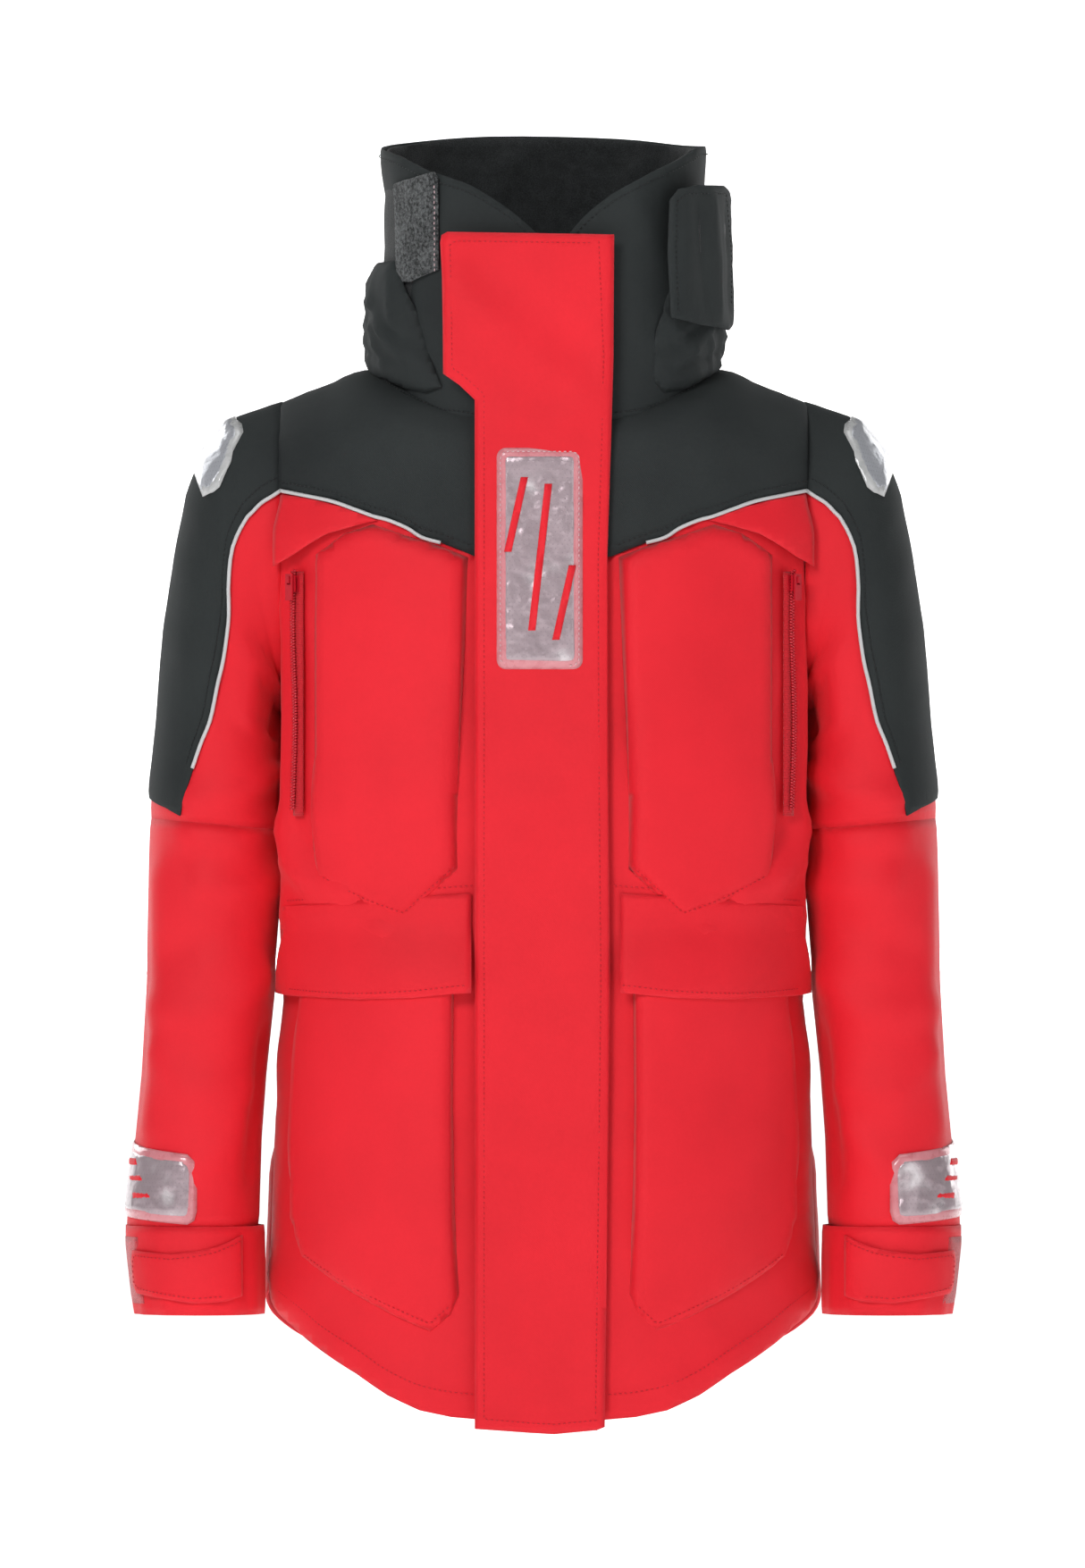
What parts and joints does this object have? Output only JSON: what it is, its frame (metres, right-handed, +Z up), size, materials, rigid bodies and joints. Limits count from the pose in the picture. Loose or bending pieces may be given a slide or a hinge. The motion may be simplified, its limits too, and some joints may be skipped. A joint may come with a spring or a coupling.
{
  "type": "foul weather jacket",
  "caption": "Offshore foul weather jacket with storm flap over a full zip, high collar with stowed hood, bellows pockets, reflectors and adjustable cuffs.",
  "frame": {"origin": "middle of the hang loop's lower edge, where a hook takes the weight", "axes": "+Z up along the hanging jacket, the front faces -Y, +X towards the wearer's left"},
  "size_m": [0.6318, 0.2776, 0.975],
  "materials": {
    "red_cloth": "woven nylon, matt",
    "dark_cloth": "heavy woven nylon, matt",
    "lining_cloth": "smooth nylon",
    "brushed_lining": "brushed",
    "loop_dark": "loop pile",
    "hook_dark": "hook tape",
    "loop_red": "loop pile",
    "hook_red": "hook tape",
    "dark_tape": "woven tape",
    "zip_tape": "woven tape",
    "zip_plastic": "moulded",
    "piping": "retro-reflective",
    "reflector": "clear window over silver film",
    "seal_rubber": "stretch"
  },
  "bodies": {
    "torso": {"front_panel_right": "red_cloth", "front_panel_left": "red_cloth", "front_yoke_right": "dark_cloth", "front_yoke_left": "dark_cloth", "back_panel": "red_cloth", "back_yoke": "dark_cloth", "body_lining": "lining_cloth", "collar_shell": "dark_cloth", "collar_lining": "brushed_lining", "stowed_hood": "dark_cloth", "collar_loop_patch": "loop_dark", "hang_loop": "dark_tape", "storm_flap_loop_strip": "loop_red", "inner_storm_flap": "red_cloth", "main_zip_tapes": "zip_tape", "main_zip_teeth": "zip_plastic", "main_zip_box": "zip_plastic", "chest_pocket_right": "red_cloth", "chest_pocket_left": "red_cloth", "zip_garage_right": "red_cloth", "zip_garage_left": "red_cloth", "handwarmer_zip_tapes": "zip_tape", "handwarmer_zip_teeth": "zip_plastic", "cargo_pocket_right": "red_cloth", "cargo_pocket_left": "red_cloth", "yoke_piping": "piping"},
    "storm_flap": {"storm_flap": "red_cloth", "storm_flap_hook_strip": "hook_red", "chest_reflector": "reflector"},
    "face_guard": {"face_guard": "dark_cloth", "face_guard_hook_patch": "hook_dark"},
    "main_zip_slider": {"main_zip_slider": "zip_plastic"},
    "main_zip_puller": {"main_zip_puller": "zip_plastic"},
    "cargo_flap_right": {"cargo_flap_right": "red_cloth"},
    "sleeve_upper_right": {"sleeve_upper_right": "red_cloth", "sleeve_overlay_right": "dark_cloth", "sleeve_piping_right": "piping", "shoulder_reflector_right": "reflector"},
    "sleeve_lower_right": {"sleeve_lower_right": "red_cloth", "cuff_band_right": "red_cloth", "cuff_reflector_right": "reflector", "cuff_loop_patch_right": "loop_red", "cuff_seal_right": "seal_rubber"},
    "cuff_tab_right": {"cuff_tab_right": "red_cloth"},
    "handwarmer_slider_right": {"handwarmer_slider_right": "zip_plastic"},
    "handwarmer_puller_right": {"handwarmer_puller_right": "zip_plastic"},
    "cargo_flap_left": {"cargo_flap_left": "red_cloth"},
    "sleeve_upper_left": {"sleeve_upper_left": "red_cloth", "sleeve_overlay_left": "dark_cloth", "sleeve_piping_left": "piping", "shoulder_reflector_left": "reflector"},
    "sleeve_lower_left": {"sleeve_lower_left": "red_cloth", "cuff_band_left": "red_cloth", "cuff_reflector_left": "reflector", "cuff_loop_patch_left": "loop_red", "cuff_seal_left": "seal_rubber"},
    "cuff_tab_left": {"cuff_tab_left": "red_cloth"},
    "handwarmer_slider_left": {"handwarmer_slider_left": "zip_plastic"},
    "handwarmer_puller_left": {"handwarmer_puller_left": "zip_plastic"}
  },
  "joints": [
    {"name": "storm_flap_fold", "type": "hinge", "parent": "torso", "child": "storm_flap", "pos_m": [0.05, -0.1934, -0.35], "axis": [0, 0, 1], "range_deg": [0, 85]},
    {"name": "face_guard_fold", "type": "hinge", "parent": "torso", "child": "face_guard", "pos_m": [0.0845, -0.1915, 0.075], "axis": [0, 0, -1], "range_deg": [0, 100]},
    {"name": "main_zip_slide", "type": "slide", "parent": "torso", "child": "main_zip_slider", "axis": [0, 0, -1], "range_m": [0, 0.84]},
    {"name": "main_zip_puller_swing", "type": "hinge", "parent": "main_zip_slider", "child": "main_zip_puller", "pos_m": [0, -0.1907, 0.0818], "axis": [-1, 0, 0], "range_deg": [0, 8]},
    {"name": "cargo_flap_lift_right", "type": "hinge", "parent": "torso", "child": "cargo_flap_right", "pos_m": [-0.125, -0.2045, -0.406], "axis": [-1, 0, 0], "range_deg": [0, 100], "stiffness_Nm_per_rad": 0.02, "springref_deg": -57.3},
    {"name": "shoulder_right", "type": "hinge", "parent": "torso", "child": "sleeve_upper_right", "pos_m": [-0.1972, -0.0584, -0.03], "axis": [0, 1, 0], "range_deg": [0, 60]},
    {"name": "elbow_right", "type": "hinge", "parent": "sleeve_upper_right", "child": "sleeve_lower_right", "pos_m": [-0.246, -0.1354, -0.3722], "axis": [-1, 0, 0], "range_deg": [0, 90], "stiffness_Nm_per_rad": 0.08, "springref_deg": -85.94},
    {"name": "cuff_tab_fold_right", "type": "hinge", "parent": "sleeve_lower_right", "child": "cuff_tab_right", "pos_m": [-0.228, -0.1348, -0.686], "axis": [0, 0, 1], "range_deg": [0, 90], "stiffness_Nm_per_rad": 0.01, "springref_deg": -34.38},
    {"name": "handwarmer_slide_right", "type": "slide", "parent": "torso", "child": "handwarmer_slider_right", "axis": [0, 0, -1], "range_m": [0, 0.16]},
    {"name": "handwarmer_puller_swing_right", "type": "hinge", "parent": "handwarmer_slider_right", "child": "handwarmer_puller_right", "pos_m": [-0.1914, -0.1502, -0.1628], "axis": [-0.7379, 0.6749, 0], "range_deg": [0, 90]},
    {"name": "cargo_flap_lift_left", "type": "hinge", "parent": "torso", "child": "cargo_flap_left", "pos_m": [0.125, -0.2045, -0.406], "axis": [-1, 0, 0], "range_deg": [0, 100], "stiffness_Nm_per_rad": 0.02, "springref_deg": -57.3},
    {"name": "shoulder_left", "type": "hinge", "parent": "torso", "child": "sleeve_upper_left", "pos_m": [0.1972, -0.0584, -0.03], "axis": [0, -1, 0], "range_deg": [0, 60]},
    {"name": "elbow_left", "type": "hinge", "parent": "sleeve_upper_left", "child": "sleeve_lower_left", "pos_m": [0.246, -0.1354, -0.3722], "axis": [-1, 0, 0], "range_deg": [0, 90], "stiffness_Nm_per_rad": 0.08, "springref_deg": -85.94},
    {"name": "cuff_tab_fold_left", "type": "hinge", "parent": "sleeve_lower_left", "child": "cuff_tab_left", "pos_m": [0.228, -0.1348, -0.686], "axis": [0, 0, -1], "range_deg": [0, 90], "stiffness_Nm_per_rad": 0.01, "springref_deg": -34.38},
    {"name": "handwarmer_slide_left", "type": "slide", "parent": "torso", "child": "handwarmer_slider_left", "axis": [0, 0, -1], "range_m": [0, 0.16]},
    {"name": "handwarmer_puller_swing_left", "type": "hinge", "parent": "handwarmer_slider_left", "child": "handwarmer_puller_left", "pos_m": [0.1914, -0.1502, -0.1628], "axis": [-0.7379, -0.6749, 0], "range_deg": [0, 90]}
  ]
}
